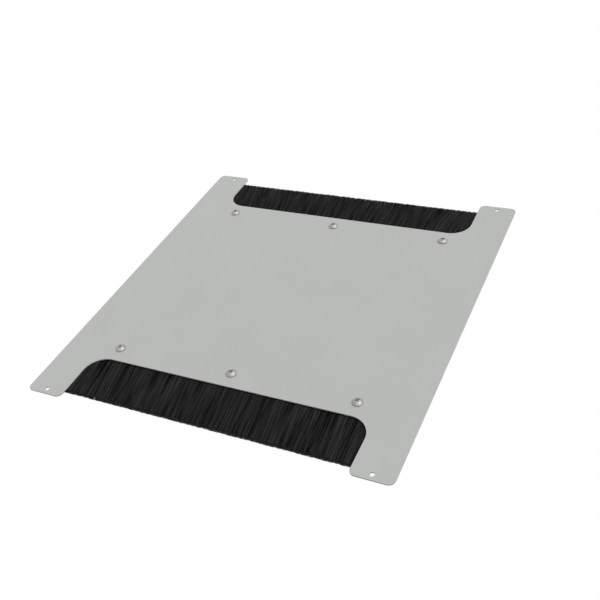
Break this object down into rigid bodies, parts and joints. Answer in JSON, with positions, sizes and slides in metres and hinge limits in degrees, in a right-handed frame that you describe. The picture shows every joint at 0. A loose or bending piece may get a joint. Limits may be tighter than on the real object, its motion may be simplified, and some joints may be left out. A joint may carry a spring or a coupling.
{
  "type": "brush cable grommet",
  "caption": "Flat painted H-shaped cabinet entry plate with a wide notch in each end, closed by strip brushes that cables pass through.",
  "frame": {"origin": "centre of the rectangle of the four corner holes, on the underside of the sheet, which lies on the cabinet", "axes": "+X along the brushes, +Y towards the rear end, +Z out of the cabinet, up through the sheet"},
  "size_m": [0.38, 0.4, 0.0136],
  "materials": {
    "plate_paint": "fine-textured light grey powder coat",
    "carrier_aluminium": "mill finish extrusion",
    "galvanised_strip": "galvanised strip",
    "core_wire_steel": "drawn galvanised wire",
    "bristle_fibre": "black filaments with a slight sheen",
    "zinc_plated_steel": "bright zinc plate"
  },
  "bodies": {
    "root": {"cover_plate": "plate_paint", "front_carrier": "carrier_aluminium", "rear_carrier": "carrier_aluminium", "front_channel": "galvanised_strip", "rear_channel": "galvanised_strip", "front_core_wire": "core_wire_steel", "rear_core_wire": "core_wire_steel", "front_bristles": "bristle_fibre", "rear_bristles": "bristle_fibre", "screws": "zinc_plated_steel", "washers": "zinc_plated_steel", "nuts": "zinc_plated_steel"}
  },
  "joints": []
}
